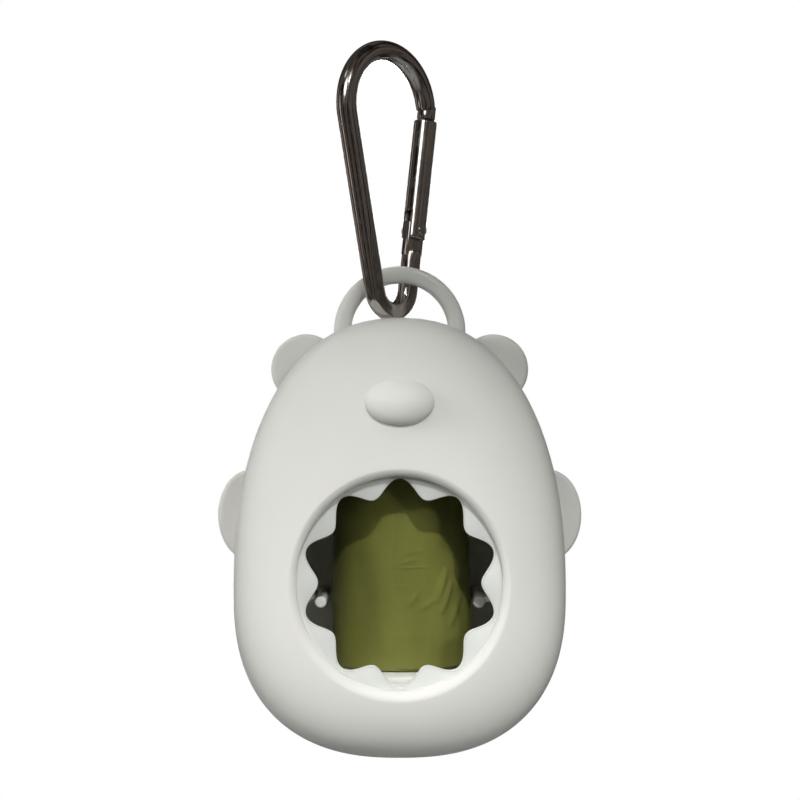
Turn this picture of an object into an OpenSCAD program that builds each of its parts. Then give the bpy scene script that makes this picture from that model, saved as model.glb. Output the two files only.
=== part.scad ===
// Bag roll dispenser: an egg-shaped animal case that hangs from a spring clip and holds one roll of bags.
// Millimetres. The origin is the top of the eye of the clip, on the metal that a leash or ring bears on.
// +Z is up as the part hangs, the window of the case faces -Y, and +X is to the right of a viewer.

/* [Case outline] */
// Half width of the case at its widest
case_a = 36; // [33:0.1:38]
// Height from the widest level up to the crown
case_up = 59.5; // [56:0.1:62]
// Height from the widest level down to the lowest point
case_down = 35.6; // [35:0.1:39]
// Squareness of the upper half of the outline
square_up = 2.29; // [2.1:0.01:2.6]
// Squareness of the lower half of the outline
square_down = 2.44; // [2.1:0.01:2.8]

/* [Case depth] */
// Depth of the front shell, from the plane of the loop to the front
front_depth = 22.5; // [22:0.1:25]
// Depth of the rear shell, from the plane of the loop to the flat back
rear_depth = 23; // [22.8:0.1:26]
// Thickness of the shell walls
wall = 2; // [1.6:0.1:2.4]
// Squareness of the front dome
front_square = 3.2; // [2.8:0.1:3.6]
// Squareness of the rear dome
rear_square = 6; // [5:0.5:8]
// How far the fullest part of the front sits below the widest level
belly_drop = 6; // [3:0.5:8]

/* [Ears, arms, nose and loop] */
// Thickness of the flat ears, arms and loop
flange_t = 2.6; // [2.2:0.1:2.8]
// Radius of each ear
ear_r = 7.7; // [6:0.1:9]
// Half width of each arm
arm_w = 7; // [6:0.1:8]
// Half height of each arm
arm_h = 9.9; // [8:0.1:11]
// Half width of the nose
nose_w = 7.2; // [6:0.1:8]
// Half height of the nose
nose_h = 4.8; // [4:0.1:5.5]
// Outer radius of the loop
loop_out = 14.5; // [14.3:0.1:15]
// Inner radius of the loop
loop_in = 10.7; // [10.5:0.1:11]

/* [Window and outlet] */
// Half width of the window
window_r = 21.7; // [21.5:0.1:22]
// Height of the window over its width
window_tall = 1.035; // [1:0.005:1.04]
// Radius of the outlet disc that sits behind the window
disc_r = 24; // [23.6:0.1:24.2]
// Thickness of the outlet disc
disc_t = 1.3; // [1:0.1:1.5]
// Half width to the tips of the star opening
star_tip = 20.7; // [20:0.1:21]
// Half width to the valleys of the star opening
star_valley = 17.2; // [16.5:0.1:18]
// Height of the star opening over its width
star_tall = 1.065; // [1:0.005:1.07]
// Number of lobes of the star opening
star_lobes = 10; // [8:1:12]

/* [Bag roll] */
// Radius of a full roll
roll_r = 15; // [12:0.1:15.1]
// Length of the roll
roll_len = 58; // [56:0.5:58]
// Outer radius of the paper core
core_r = 6.5; // [5:0.1:8]

/* [Clip] */
// Diameter of the clip wire
wire_d = 4.4; // [4:0.1:4.5]
// Radius of the centre line of the upper bend
bend_top = 12.7; // [12.5:0.1:13]
// Radius of the centre line of the lower bend
bend_low = 5.3; // [5.2:0.1:5.5]
// Distance between the centres of the two bends
bend_gap = 39.3; // [39:0.1:40]
// Diameter of the gate
gate_d = 5.2; // [5:0.1:5.4]
// Turn of the clip out of the plane of the case
clip_turn = 47; // [45:1:50]
// Lean of the clip within its own plane
clip_lean = 2; // [1.5:0.1:2.5]

/* [Hidden] */
$fn = 64;
eps = 0.01;

// Places on the clip, in its own plane: x across it, z up, with the wide bend at the top
wire_r = wire_d / 2;
gate_r = gate_d / 2;
taper = asin((bend_top - bend_low) / bend_gap);
eye_z = -(bend_top - wire_r);
leg_len = bend_gap * cos(taper);
pivot_s = 24.6;
gate_len = 26.6;
gate_top_s = -0.5;
wire_end_turn = 2.5;
collar_gap = 0.3;
knuckle = 0.03;
leg_low_s = 29.2;
rivet_r = 0.8;
rivet_play = 0.03;
rivet_head_r = 1.2;
rivet_head_t = 0.25;
head_sink = 0.15;
tab_t = 2;
slot_t = 2.4;
tab_w = 5;
tab_heel = 1.9;
tab_foot = 8;
collar_h = 3.2;
slot_top_s = 21.8;
window_top_s = 20.4;
bore_r = 1.3;
bore_end_s = 9.5;
plunger_r = 1.2;
plunger_len = 4;
plunger_gap = 0.05;
spring_wire_r = 0.2;
spring_r = 0.95;
spring_turns = 10;
pocket_s = 5.6;
pocket_play = 0.2;
latch_s = 3.6;
latch_r = 1;
latch_play = 0.25;
pin_half = 1.7;
pin_play = 0.15;
tongue_in = -1;
tongue_out = 1.9;
stamp_t = 3.5;
trim = 0.1;

// Places on the case, from the middle of its outline: x across, y to the back, z up
case_x = 2.8;
case_z = -116.2;
loop_up = 56.6;
loop_mid = (loop_out + loop_in) / 2;
pass_z = case_z + loop_up + loop_mid - 1;
case_y = (eye_z - pass_z) * tan(clip_lean) * sin(clip_turn) + 0.05;
part_y = flange_t / 2;
part_gap = 0.15;
rear_rim = 4;
brow_y = 3.8;
brow_edge = 0.4;
step_in = 1.2;
lip_gap = 0.2;
lip_t = 1.2;
lip_len = 2.4;
segments = 48;
ear_x = 20.6;
ear_up = 48.4;
ear_fillet = 0.8;
arm_x = 33;
arm_up = 16.3;
nose_up = 41.4;
nose_proud = 3.2;
nose_sink = 1.2;
window_up = 3.1;
disc_y = -18.9;
seat_r = 26.2;
seat_y = -16.4;
seat_lap = 0.7;
bevel = 2.2;
bevel_from = -19.8;
roll_y = 4.3;
roll_low = -16.75;
shelf_t = 1.6;
shelf_play = 0.2;
post_x = 17.4;
post_up = -2.8;
post_r = 1.3;
post_front = -2;
rib_t = 1.2;
rib_len = 15;
rib_end = 33;
bag_t = 0.35;
bag_from = -100;
bag_to = 70;

// Outline of the case with half width a and heights up and down, as points [x, z]
function power_cos(t, n) = sign(cos(t)) * pow(abs(cos(t)), 2 / n);
function power_sin(t, n) = sign(sin(t)) * pow(abs(sin(t)), 2 / n);
function square_of(t) = sin(t) >= 0 ? square_up : square_down;
function outline(a, up, down) = [for (i = [0:segments - 1])
    let (t = 360 * i / segments, n = square_of(t))
    [a * power_cos(t, n), (sin(t) >= 0 ? up : down) * power_sin(t, n)]];
function inset(e) = outline(case_a - e, case_up - e, case_down - e);

// One ring of a shell: outline inset by e, shrunk by s towards the belly, at depth y
function ring(e, s, y, drop = 0) = [for (p = inset(e)) [p[0] * s, y, p[1] * s - drop * (1 - s)]];

// Rings of a dome from its rim at y0 to its flat end at y1, as outline shrinks from 1 to tip
function dome_y(s, n) = pow(1 - pow(s, n), 1 / n);
function dome(e, y0, y1, n, tip, steps, drop = 0) = [for (i = [0:steps])
    let (q = i / steps, s = 1 - (1 - tip) * q * q * (3 - q) / 2)
    ring(e, s, y0 + (y1 - y0) * dome_y(s, n) / dome_y(tip, n), drop)];
function turned(list) = [for (i = [len(list) - 1:-1:0]) list[i]];

// Skin over a stack of rings, closed by a flat face at each end
module skin(rings) {
    count = len(rings);
    side = [for (j = [0:count - 2], i = [0:segments - 1])
        let (k = (i + 1) % segments)
        [j * segments + i, j * segments + k, (j + 1) * segments + k, (j + 1) * segments + i]];
    first = [for (i = [segments - 1:-1:0]) i];
    last = [for (i = [0:segments - 1]) (count - 1) * segments + i];
    polyhedron(points = [for (r = rings) for (p = r) p], faces = concat(side, [first, last]));
}

// Puts a shape drawn in the XZ plane of the case, thick along y
module upright(y0, y1) {
    translate([0, y1, 0])
        rotate([90, 0, 0])
            linear_extrude(height = y1 - y0)
                children();
}

// Round bar along y
module bar_y(r, y0, y1) {
    translate([0, y1, 0])
        rotate([90, 0, 0])
            cylinder(r = r, h = y1 - y0);
}

// From the middle of the outline of the case to the frame of the part
module at_case() {
    translate([case_x, case_y, case_z])
        children();
}

// From the plane of the clip to the frame of the part
module at_clip() {
    rotate([0, 0, clip_turn])
        translate([0, 0, eye_z])
            rotate([0, -clip_lean, 0])
                children();
}

// The leg that the gate stands on: z up along it, x outwards, zero at its upper end
module at_leg() {
    translate([bend_top * cos(taper), 0, -bend_top * sin(taper)])
        rotate([0, taper, 0])
            children();
}

// Part of a ring of wire in the XZ plane
module bend(r, from, sweep) {
    rotate([90, 0, 0])
        rotate([0, 0, from])
            rotate_extrude(angle = sweep)
                translate([r, 0])
                    circle(r = wire_r);
}

// Straight length of wire down a leg, with a ball a hair thicker at each end where it meets a bend
module straight(from_s, to_s) {
    translate([0, 0, -to_s])
        cylinder(r = wire_r, h = to_s - from_s);
    translate([0, 0, -to_s])
        sphere(r = wire_r + knuckle);
}

module clip_wire() {
    bend(bend_top, wire_end_turn, 180 + taper - wire_end_turn);
    mirror([1, 0, 0])
        at_leg() {
            straight(0, leg_len);
            sphere(r = wire_r + knuckle);
        }
    // The lower bend is stamped flat on both faces
    intersection() {
        translate([0, 0, -bend_gap])
            bend(bend_low, 180 + taper, 180 - 2 * taper);
        translate([0, 0, -bend_gap])
            cube([40, stamp_t, 40], center = true);
    }
    at_leg()
        straight(leg_low_s, leg_len);
}

// Flat tongue with a cross pin that the closed gate hooks over
module clip_tongue() {
    at_leg() {
        translate([-wire_r + trim, -tab_t / 2, -gate_top_s + collar_gap])
            cube([wire_d - 2 * trim, tab_t, collar_h]);
        translate([tongue_in, -tab_t / 2, -latch_s - latch_r])
            cube([tongue_out - tongue_in, tab_t, latch_s + latch_r - gate_top_s + 2 * collar_gap]);
        translate([(tongue_in + tongue_out) / 2, 0, -latch_s])
            bar_y(latch_r, -pin_half, pin_half);
    }
}

module clip_tab() {
    at_leg()
        difference() {
            translate([-tab_w / 2, -tab_t / 2, -leg_len + tab_foot])
                cube([tab_w, tab_t, leg_len - tab_foot - pivot_s + tab_heel]);
            translate([0, 0, -pivot_s])
                bar_y(rivet_r + rivet_play, -gate_d, gate_d);
        }
}

module clip_body() {
    color([0.45, 0.44, 0.43])
        at_clip() {
            clip_wire();
            clip_tongue();
            clip_tab();
        }
}

module clip_gate() {
    color([0.5, 0.48, 0.46])
        at_clip()
            at_leg()
                difference() {
                    translate([0, 0, -gate_len])
                        cylinder(r = gate_r, h = gate_len - gate_top_s);
                    // Slot for the tab, longer on the inner side
                    translate([-gate_d, -slot_t / 2, -gate_len - 1])
                        cube([2 * gate_d, slot_t, gate_len + 1 - slot_top_s]);
                    translate([-gate_d, -slot_t / 2, -gate_len - 1])
                        cube([gate_d, slot_t, gate_len + 1 - window_top_s]);
                    // Blind bore for the spring
                    translate([0, 0, -gate_len])
                        cylinder(r = bore_r, h = gate_len - bore_end_s);
                    translate([0, 0, -pivot_s])
                        bar_y(rivet_r, -gate_d, gate_d);
                    // Pocket for the tongue and cross slot for its pin, open outwards only
                    translate([tongue_in - pocket_play, -slot_t / 2, -pocket_s])
                        cube([2 * gate_d, slot_t, 2 * pocket_s]);
                    translate([(tongue_in + tongue_out) / 2 - latch_r - pocket_play, -pin_half - pin_play,
                               -latch_s - latch_r - latch_play])
                        cube([2 * gate_d, 2 * (pin_half + pin_play), 2 * (latch_r + latch_play)]);
                }
}

module gate_rivet() {
    reach = gate_r + rivet_head_t;
    color([0.6, 0.58, 0.55])
        at_clip()
            at_leg()
                translate([0, 0, -pivot_s]) {
                    bar_y(rivet_r, -reach, reach);
                    bar_y(rivet_head_r, gate_r - head_sink, reach);
                    bar_y(rivet_head_r, -reach, head_sink - gate_r);
                }
}

module gate_plunger() {
    color([0.7, 0.68, 0.6])
        at_clip()
            at_leg()
                translate([0, 0, -pivot_s + tab_heel + plunger_gap])
                    cylinder(r = plunger_r, h = plunger_len);
}

// Coil swept along a helix, six-sided
module coil(r, wire, height, turns) {
    around = 10;
    sides = 6;
    last = turns * around;
    points = [for (i = [0:last], j = [0:sides - 1])
        let (t = 360 * i / around, q = 360 * j / sides, d = r + wire * cos(q))
        [d * cos(t), d * sin(t), height * i / last + wire * sin(q)]];
    side = [for (i = [0:last - 1], j = [0:sides - 1])
        let (k = (j + 1) % sides)
        [i * sides + j, (i + 1) * sides + j, (i + 1) * sides + k, i * sides + k]];
    start = [for (j = [0:sides - 1]) j];
    end = [for (j = [sides - 1:-1:0]) last * sides + j];
    polyhedron(points = points, faces = concat(side, [start, end]));
}

module gate_spring() {
    foot = -pivot_s + tab_heel + plunger_gap + plunger_len + spring_wire_r + 2 * eps;
    top = -bore_end_s - spring_wire_r - 2 * eps;
    color([0.75, 0.75, 0.75])
        at_clip()
            at_leg()
                translate([0, 0, foot])
                    coil(spring_r, spring_wire_r, top - foot, spring_turns);
}

// Half width at level z of the outline inset by e and shrunk by s towards a point drop below the middle
function half_width(e, s, z, drop = 0) = let (up = z > 0, b = ((up ? case_up : case_down) - e) * s,
                                              n = up ? square_up : square_down,
                                              h = min(abs(z + drop * (1 - s)) / b, 0.999))
    (case_a - e) * s * pow(1 - pow(h, n), 1 / n);

// Shrink of a dome at depth y, for a rim at y0, a front at y1 and squareness n
function shrink(y, y0, y1, n) = pow(1 - pow(max(0, (y - y0) / (y1 - y0)), n), 1 / n);

// Half width of the middle of each wall at depth y and level z
function front_x(y, z) = half_width(wall / 2, shrink(y, -brow_y, -front_depth + wall / 2, front_square), z,
                                    belly_drop);
function rear_x(y, z) = half_width(step_in + wall / 2,
                                   shrink(y, rear_rim, rear_depth - wall / 2, rear_square), z);

// Level shelf across the case between two depths, its sides sunk in the walls
module shelf(z, depths, widths) {
    right = [for (i = [0:len(depths) - 1]) [widths[i], depths[i]]];
    left = [for (i = [len(depths) - 1:-1:0]) [-widths[i], depths[i]]];
    translate([0, 0, z])
        linear_extrude(height = shelf_t)
            polygon(concat(right, left));
}

shelf_low = roll_low - shelf_play - shelf_t;
shelf_high = roll_low + roll_len + shelf_play;

// The front shelves narrow near the rim to leave room for the lip of the rear shell
module front_shelf(z, depths) {
    room = step_in + wall + lip_gap + lip_t + 0.3;
    rim = [part_y - trim, part_y - lip_len - 0.3];
    level = max(abs(z), abs(z + shelf_t)) * sign(z);
    shelf(z, concat(rim, [rim[1] - eps], depths),
          concat([for (y = rim) half_width(room, 1, level)], [for (y = concat([rim[1]], depths)) front_x(y, z)]));
}

module rear_shelf(z, depths) {
    shelf(z, depths, [for (y = depths) rear_x(y, z)]);
}

module loop() {
    loop_end = -14;
    edge_r = flange_t / 2;
    translate([0, 0, loop_up])
        rotate([90, 0, 0])
            rotate([0, 0, loop_end])
                rotate_extrude(angle = 180 - 2 * loop_end) {
                    translate([loop_in + edge_r, 0])
                        circle(r = edge_r);
                    translate([loop_out - edge_r, 0])
                        circle(r = edge_r);
                    translate([loop_in + edge_r, -edge_r])
                        square([loop_out - loop_in - flange_t, flange_t]);
                }
}

module oval(w, h) {
    polygon([for (i = [0:35]) [w * cos(10 * i), h * sin(10 * i)]]);
}

// Ears with the small fillets that join them to the foot of the loop
module ears() {
    difference() {
        offset(r = -ear_fillet)
            offset(r = ear_fillet) {
                for (side = [-1, 1])
                    translate([side * ear_x, ear_up])
                        circle(r = ear_r);
                translate([0, loop_up])
                    circle(r = loop_out);
            }
        translate([0, loop_up])
            circle(r = loop_out - part_y);
    }
}

// Ears, arms and loop, which stand out of the rim of the front shell
module flanges() {
    difference() {
        union() {
            upright(-part_y, part_y)
                ears();
            for (side = [-1, 1])
                translate([side * arm_x, 0, arm_up])
                    upright(-part_y, part_y)
                        oval(arm_w, arm_h);
            loop();
        }
        upright(-flange_t, flange_t)
            polygon(inset(step_in + 1));
    }
}

module front_skin() {
    tip = 0.2;
    outer = dome(0, -brow_y, -front_depth, front_square, tip, 10, belly_drop);
    inner = dome(wall, -brow_y - 0.2, -front_depth + wall, front_square, tip, 8, belly_drop);
    skin(concat(turned(outer),
                [ring(0, 1, -brow_y + brow_edge), ring(step_in, 1, -brow_y + 2 * step_in - brow_edge),
                 ring(step_in, 1, part_y),
                 ring(step_in + wall, 1, part_y), ring(step_in + wall, 1, -part_y - 0.3)],
                inner));
}

module front_shell() {
    color([0.82, 0.83, 0.8])
        at_case()
            difference() {
                union() {
                    front_skin();
                    flanges();
                    translate([0, 0, window_up])
                        bar_y(seat_r, disc_y - seat_lap, seat_y);
                    front_shelf(shelf_low, [-6, -12, disc_y + disc_t + 0.5]);
                    front_shelf(shelf_high, [-6, -11]);
                    translate([0, -front_depth + nose_sink + 1, nose_up])
                        scale([nose_w, nose_proud, nose_h])
                            sphere(r = 1, $fn = 32);
                }
                translate([0, 0, window_up]) {
                    bar_y(disc_r, disc_y, 0);
                    scale([1, 1, window_tall]) {
                        bar_y(window_r, -2 * front_depth, 0);
                        translate([0, bevel_from, 0])
                            rotate([90, 0, 0])
                                cylinder(r1 = window_r - eps, r2 = window_r + 2 * bevel, h = 2 * bevel);
                    }
                }
            }
}

module star() {
    steps = 12;
    mid = (star_tip + star_valley) / 2;
    wave = (star_tip - star_valley) / 2;
    polygon([for (i = [0:star_lobes * steps - 1])
        let (t = 360 * i / (star_lobes * steps), r = mid + wave * cos(star_lobes * (t - 90)))
        [r * cos(t), star_tall * r * sin(t)]]);
}

module outlet_disc() {
    color([0.84, 0.87, 0.87])
        at_case()
            translate([0, 0, window_up])
                difference() {
                    bar_y(disc_r, disc_y, disc_y + disc_t);
                    upright(disc_y - 1, disc_y + disc_t + 1)
                        star();
                }
}

module rear_skin() {
    tip = 0.6;
    lip_e = step_in + wall + lip_gap;
    outer = dome(step_in, rear_rim, rear_depth, rear_square, tip, 8);
    inner = dome(step_in + wall, rear_rim + 1, rear_depth - wall, rear_square, tip, 8);
    skin(concat(turned(inner),
                [ring(lip_e + lip_t, 1, rear_rim - 0.5), ring(lip_e + lip_t, 1, part_y - lip_len),
                 ring(lip_e, 1, part_y - lip_len), ring(lip_e, 1, part_y + part_gap),
                 ring(step_in, 1, part_y + part_gap)],
                outer));
}

module rear_shell() {
    back = rear_depth - wall / 2;
    shelf_start = part_y + 2.5;
    color([0.8, 0.81, 0.78])
        at_case() {
            rear_skin();
            rear_shelf(shelf_low, [shelf_start, 10, 17, back]);
            rear_shelf(shelf_high, [shelf_start, 10, 15.5]);
            for (side = [-1, 1])
                translate([side * post_x, 0, post_up]) {
                    bar_y(post_r, post_front, back);
                    translate([side > 0 ? 0 : post_x - rib_end, shelf_start, -rib_t / 2])
                        cube([rib_end - post_x, rib_len, rib_t]);
                }
        }
}

module roll_place() {
    at_case()
        translate([0, roll_y, roll_low])
            children();
}

module bag_roll() {
    color([0.45, 0.5, 0.2])
        roll_place()
            difference() {
                cylinder(r = roll_r, h = roll_len);
                translate([0, 0, -1])
                    cylinder(r = core_r, h = roll_len + 2);
            }
}

module roll_core() {
    color([0.75, 0.65, 0.5])
        roll_place()
            difference() {
                cylinder(r = core_r, h = roll_len);
                translate([0, 0, -1])
                    cylinder(r = core_r - 1, h = roll_len + 2);
            }
}

// Outermost bag, lying loose over the right of the roll
module leading_bag() {
    color([0.5, 0.55, 0.25])
        roll_place()
            rotate([0, 0, bag_from])
                rotate_extrude(angle = bag_to - bag_from)
                    translate([roll_r, 0.6])
                        square([bag_t, roll_len - 1.2]);
}

clip_body();
clip_gate();
gate_rivet();
gate_spring();
gate_plunger();
front_shell();
outlet_disc();
rear_shell();
bag_roll();
roll_core();
leading_bag();
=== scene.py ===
"""Looks of a bag roll dispenser: an egg-shaped animal case on a snap clip, with a roll of bags inside."""
import math

import bmesh
import bpy
import numpy as np
from mathutils import Matrix, Vector


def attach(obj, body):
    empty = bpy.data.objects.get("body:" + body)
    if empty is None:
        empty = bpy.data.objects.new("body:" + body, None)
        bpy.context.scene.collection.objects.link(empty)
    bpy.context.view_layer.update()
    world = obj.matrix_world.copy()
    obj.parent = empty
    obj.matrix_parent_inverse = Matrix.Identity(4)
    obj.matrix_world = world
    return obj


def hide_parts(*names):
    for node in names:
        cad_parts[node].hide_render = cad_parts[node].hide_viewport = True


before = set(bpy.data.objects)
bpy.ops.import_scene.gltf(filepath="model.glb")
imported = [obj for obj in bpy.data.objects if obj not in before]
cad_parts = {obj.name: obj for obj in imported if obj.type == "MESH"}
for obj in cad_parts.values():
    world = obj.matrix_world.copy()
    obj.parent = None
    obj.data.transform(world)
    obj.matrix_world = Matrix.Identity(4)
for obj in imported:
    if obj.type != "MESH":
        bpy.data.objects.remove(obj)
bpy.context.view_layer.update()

bl_info = {
    "name": "Bag Roll Dispenser",
    "version": (1, 0, 0),
    "blender": (4, 5, 0),
    "location": "View3D > Sidebar > Dispenser",
    "description": "Builds the case, the snap clip, the roll of bags and the stage of a bag roll dispenser",
    "category": "Object",
}

MM = 0.001


def length(name, description, default):
    """A size in metres whose default is given in millimetres."""
    return bpy.props.FloatProperty(name=name, description=description, default=default * MM, min=0,
                                   precision=5, subtype="DISTANCE", unit="LENGTH")


def place(name, description, default):
    """A coordinate in metres whose default is given in millimetres."""
    return bpy.props.FloatProperty(name=name, description=description, default=default * MM,
                                   precision=5, subtype="DISTANCE", unit="LENGTH")


def number(name, description, default):
    return bpy.props.FloatProperty(name=name, description=description, default=default)


def turn(name, description, default):
    """An angle whose default is given in degrees."""
    return bpy.props.FloatProperty(name=name, description=description, default=math.radians(default),
                                   subtype="ANGLE", unit="ROTATION")


def tint(name, description, default):
    return bpy.props.FloatVectorProperty(name=name, description=description, default=default, size=3,
                                         min=0, max=1, subtype="COLOR")


class CaseSizes(bpy.types.PropertyGroup):
    """Sizes of the case, from the middle of its outline."""
    middle_x: place("Middle X", "Middle of the outline, across", 2.8)
    middle_y: place("Middle Y", "Plane of the loop", 1.0077)
    middle_z: place("Middle Z", "Widest level of the case", -116.2)
    half_width: length("Half width", "Half width of the outline", 36)
    height_up: length("Height up", "Height of the crown over the widest level", 59.5)
    height_down: length("Height down", "Depth of the foot under the widest level", 35.6)
    square_up: number("Upper squareness", "Exponent of the upper half of the outline", 2.29)
    square_down: number("Lower squareness", "Exponent of the lower half of the outline", 2.44)
    front_depth: length("Front depth", "From the plane of the loop to the front", 22.5)
    rear_depth: length("Rear depth", "From the plane of the loop to the flat back", 23)
    wall: length("Wall", "Thickness of the walls", 2)
    front_square: number("Front squareness", "Exponent of the front dome", 3.2)
    rear_square: number("Rear squareness", "Exponent of the rear dome", 6)
    belly_drop: length("Belly drop", "How far the fullest part sits under the widest level", 6)
    brow: length("Brow", "Depth at which the front dome ends", 3.8)
    step_in: length("Step", "How far the parting line sits inside the outline", 1.2)
    flange: length("Flange", "Thickness of ears, arms and loop", 2.6)
    ear_r: length("Ear radius", "Radius of each ear", 7.7)
    ear_x: length("Ear across", "Middle of each ear from the middle", 20.6)
    ear_z: length("Ear level", "Middle of each ear over the widest level", 48.4)
    arm_w: length("Arm half width", "Half width of each arm", 7)
    arm_h: length("Arm half height", "Half height of each arm", 9.9)
    arm_x: length("Arm across", "Middle of each arm from the middle", 33)
    arm_z: length("Arm level", "Middle of each arm over the widest level", 16.3)
    loop_out: length("Loop outside", "Outer radius of the loop", 14.5)
    loop_in: length("Loop inside", "Inner radius of the loop", 10.7)
    loop_z: length("Loop level", "Middle of the loop over the widest level", 56.6)
    nose_w: length("Nose half width", "Half width of the nose", 7.3)
    nose_h: length("Nose half height", "Half height of the nose", 4.9)
    nose_z: length("Nose level", "Middle of the nose over the widest level", 41.2)
    nose_proud: length("Nose height", "How far the nose stands out", 3.0)
    window_r: length("Window half width", "Half width of the window", 21.7)
    window_tall: number("Window height", "Height of the window over its width", 1.035)
    window_z: length("Window level", "Middle of the window over the widest level", 3.1)


class OutletSizes(bpy.types.PropertyGroup):
    """Sizes of the outlet disc and the seat it sits in."""
    radius: length("Radius", "Radius of the disc", 24)
    thick: length("Thickness", "Thickness of the disc", 1.3)
    front_y: place("Front", "Front face of the disc, from the plane of the loop", -18.9)
    seat_r: length("Seat radius", "Outer radius of the seat ring", 26.2)
    seat_y: place("Seat back", "Back of the seat ring, from the plane of the loop", -16.4)
    star_tip: length("Star tips", "Half width to the tips of the star", 20.7)
    star_valley: length("Star valleys", "Half width to the valleys of the star", 17.2)
    star_tall: number("Star height", "Height of the star over its width", 1.065)
    lobes: bpy.props.IntProperty(name="Lobes", description="Lobes of the star", default=10)


class RollSizes(bpy.types.PropertyGroup):
    """Sizes of the roll of bags."""
    radius: length("Radius", "Radius of the roll", 15)
    core: length("Core", "Outer radius of the paper core", 6.5)
    tall: length("Length", "Length of the roll", 58)
    depth: place("Depth", "Axis of the roll behind the plane of the loop", 4.3)
    low: place("Low end", "Low end of the roll, from the widest level", -16.75)
    ledge: length("Ledge", "Thickness of the ledges that hold the roll", 1.6)
    play: length("Play", "Gap between the roll and a ledge", 0.2)
    post_x: length("Post across", "Middle of each guide post from the middle", 17.4)
    post_z: place("Post level", "Level of the guide posts", -2.8)
    post_r: length("Post radius", "Radius of each guide post", 1.3)


class ClipSizes(bpy.types.PropertyGroup):
    """Sizes of the snap clip, in its own plane."""
    wire: length("Wire radius", "Radius of the wire", 2.2)
    bend_top: length("Upper bend", "Radius of the centre line of the upper bend", 12.7)
    bend_low: length("Lower bend", "Radius of the centre line of the lower bend", 5.3)
    bend_gap: length("Bend gap", "Between the centres of the two bends", 39.3)
    gate_r: length("Gate radius", "Radius of the gate", 2.6)
    gate_low: length("Gate low end", "Low end of the gate, down the leg", 26.6)
    gate_top: length("Gate top", "Top of the gate over the start of the leg", 0.5)
    pivot: length("Rivet", "Middle of the rivet, down the leg", 24.6)
    turn: turn("Turn", "Turn of the clip out of the plane of the case", 47)
    lean: turn("Lean", "Lean of the clip in its own plane", 2)
    neck_r: length("Neck radius", "Radius of the neck that ends the wire", 2.05)
    tongue_half: length("Tongue", "Half thickness of the tongue and the tab", 1)
    pin_r: length("Pin radius", "Radius of the cross pin in the tongue", 1)
    pin_half: length("Pin half length", "Half length of the cross pin", 1.7)
    pin_x: length("Pin across", "Middle of the cross pin outside the middle of the leg", 0.45)
    pin_z: place("Pin level", "Middle of the cross pin, up the leg", -3.6)
    tab_half: length("Tab half width", "Half width of the tab in the gate", 2.5)
    rivet_r: length("Rivet radius", "Radius of the rivet's shank", 0.8)
    rivet_head_r: length("Rivet head radius", "Radius of the rivet's peened heads", 1.2)


class Finishes(bpy.types.PropertyGroup):
    """Colours of the materials."""
    case: tint("Case", "White plastic of the shells", (0.735, 0.735, 0.69))
    disc: tint("Disc", "Cooler plastic of the outlet disc", (0.65, 0.665, 0.63))
    film: tint("Film", "Green film of the bags", (0.170, 0.178, 0.041))
    film_deep: tint("Film folds", "Film where it lies thick", (0.106, 0.111, 0.025))
    metal: tint("Metal", "Plated wire", (0.56, 0.54, 0.52))
    metal_worn: tint("Worn metal", "Metal where it rubs", (0.66, 0.62, 0.58))
    board: tint("Board", "Paper board of the core", (0.42, 0.31, 0.19))


class StageSettings(bpy.types.PropertyGroup):
    """Camera and lamps."""
    camera_x: place("Camera X", "Across", 2.86)
    camera_y: place("Camera Y", "In front of the plane of the loop", -400)
    camera_z: place("Camera Z", "Level", -74.58)
    middle_drop: length("Middle drop", "How far the middle of the part hangs under the camera", 30)
    aim_y: place("Aim depth", "Depth of the points that the spots are aimed at", -20)
    window_aim: place("Window aim", "Level that the spots on the window are aimed at", -137)
    belly_aim: place("Belly aim", "Level that the spot on the belly is aimed at", -147)
    lens: number("Lens", "Focal length in millimetres", 81.8)
    key_power: number("Key", "Power of the small high lamp in watts", 0.488)
    left_power: number("Left", "Power of the soft lamp on the left in watts", 2.07)
    right_power: number("Right", "Power of the soft lamp on the right in watts", 1.83)
    front_power: number("Front", "Power of the soft lamp in front and above in watts", 1.83)
    back_power: number("Back", "Power of the soft lamp behind in watts", 6.5)
    window_power: number("Window", "Power of the soft spot on the window in watts", 22.5)
    top_power: number("Top", "Power of the soft spot from above in watts", 22.6)
    belly_power: number("Belly", "Power of the soft spot on the belly in watts", 22)
    side_power: number("Side", "Power of the soft spot from the left in watts", 15.9)
    ambient: number("Ambient", "Strength of the light from all round", 0.037)
    floor_z: place("Floor", "Level of the floor", -330)


def case():
    return bpy.context.scene.dispenser_case


def outlet():
    return bpy.context.scene.dispenser_outlet


def roll():
    return bpy.context.scene.dispenser_roll


def clip():
    return bpy.context.scene.dispenser_clip


def finishes():
    return bpy.context.scene.dispenser_finishes


def stage():
    return bpy.context.scene.dispenser_stage


# Mesh helpers

def new_object(name, vertices, faces):
    mesh = bpy.data.meshes.new(name)
    mesh.from_pydata([tuple(v) for v in vertices], [], faces)
    mesh.validate()
    bm = bmesh.new()
    bm.from_mesh(mesh)
    bmesh.ops.recalc_face_normals(bm, faces=bm.faces)
    bm.to_mesh(mesh)
    bm.free()
    made = bpy.data.objects.new(name, mesh)
    bpy.context.scene.collection.objects.link(made)
    return made


def grid_faces(rows, columns, wrap_rows=False, wrap_columns=True, start=0):
    """Quads of a grid of points whose index is start + row * columns + column."""
    last_row = rows if wrap_rows else rows - 1
    last_column = columns if wrap_columns else columns - 1
    made = []
    for i in range(last_row):
        for j in range(last_column):
            below, right = (i + 1) % rows, (j + 1) % columns
            made.append((start + i * columns + j, start + i * columns + right,
                         start + below * columns + right, start + below * columns + j))
    return made


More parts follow.
